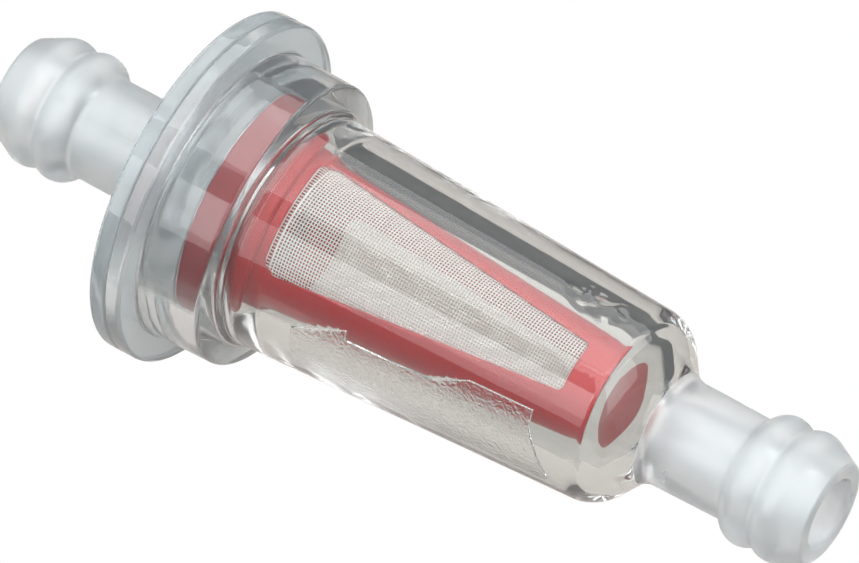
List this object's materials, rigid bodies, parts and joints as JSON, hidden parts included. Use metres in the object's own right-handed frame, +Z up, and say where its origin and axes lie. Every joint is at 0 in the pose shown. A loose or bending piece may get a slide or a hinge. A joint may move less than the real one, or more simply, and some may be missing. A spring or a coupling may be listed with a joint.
{
  "type": "fuel filter",
  "caption": "Clear in-line fuel filter: a welded flanged housing with a barbed hose end at each side, around a red strainer cage with a woven screen.",
  "frame": {"origin": "on the filter's axis, midway between the two hose tips", "axes": "+X along the axis from the inlet to the outlet, +Z up; the first screen window faces +Z turned 22.3 degrees towards -Y"},
  "size_m": [0.0562, 0.0218, 0.0218],
  "materials": {
    "clear_housing": "clear injection-moulded plastic, polished on the body, fine-grained on the necks and barbs",
    "red_cage": "red injection-moulded nylon, smooth",
    "woven_screen": "plain-woven white nylon screen"
  },
  "bodies": {
    "root": {"inlet_cap": "clear_housing", "bowl": "clear_housing", "strainer_cage": "red_cage", "screen_sleeve": "woven_screen"}
  },
  "joints": []
}
